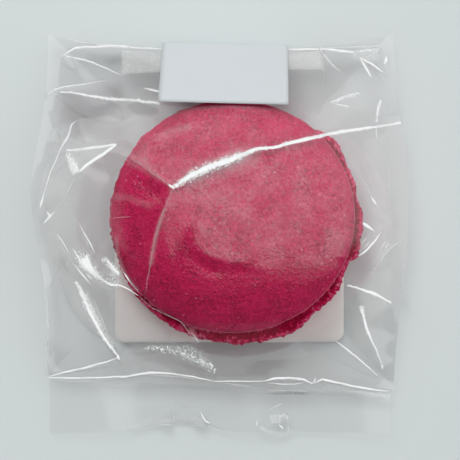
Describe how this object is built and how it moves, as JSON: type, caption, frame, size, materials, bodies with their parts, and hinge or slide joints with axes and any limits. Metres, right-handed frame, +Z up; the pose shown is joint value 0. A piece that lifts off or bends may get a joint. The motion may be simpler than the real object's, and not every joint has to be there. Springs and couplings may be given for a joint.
{
  "type": "french macaron in a sealed clear bag",
  "caption": "Domed french macaron on a white sachet, sealed in a square clear film bag with a folded blank paper label over its top edge; lies flat.",
  "frame": {"origin": "on the table under the middle of the pack", "axes": "+Z up from the table, +Y towards the labelled top edge, +X towards the pack's right side, seen from above"},
  "size_m": [0.076, 0.0821, 0.022],
  "materials": {
    "film": "clear, glossy, thin and creased",
    "label_paper": "smooth matt white paper",
    "macaron_shell": "baked almond meringue, matt, fine grained",
    "filling": "soft, slightly glossy cream",
    "sachet_paper": "smooth white paper"
  },
  "bodies": {
    "root": {"bag": "film", "label": "label_paper"}
  },
  "joints": []
}
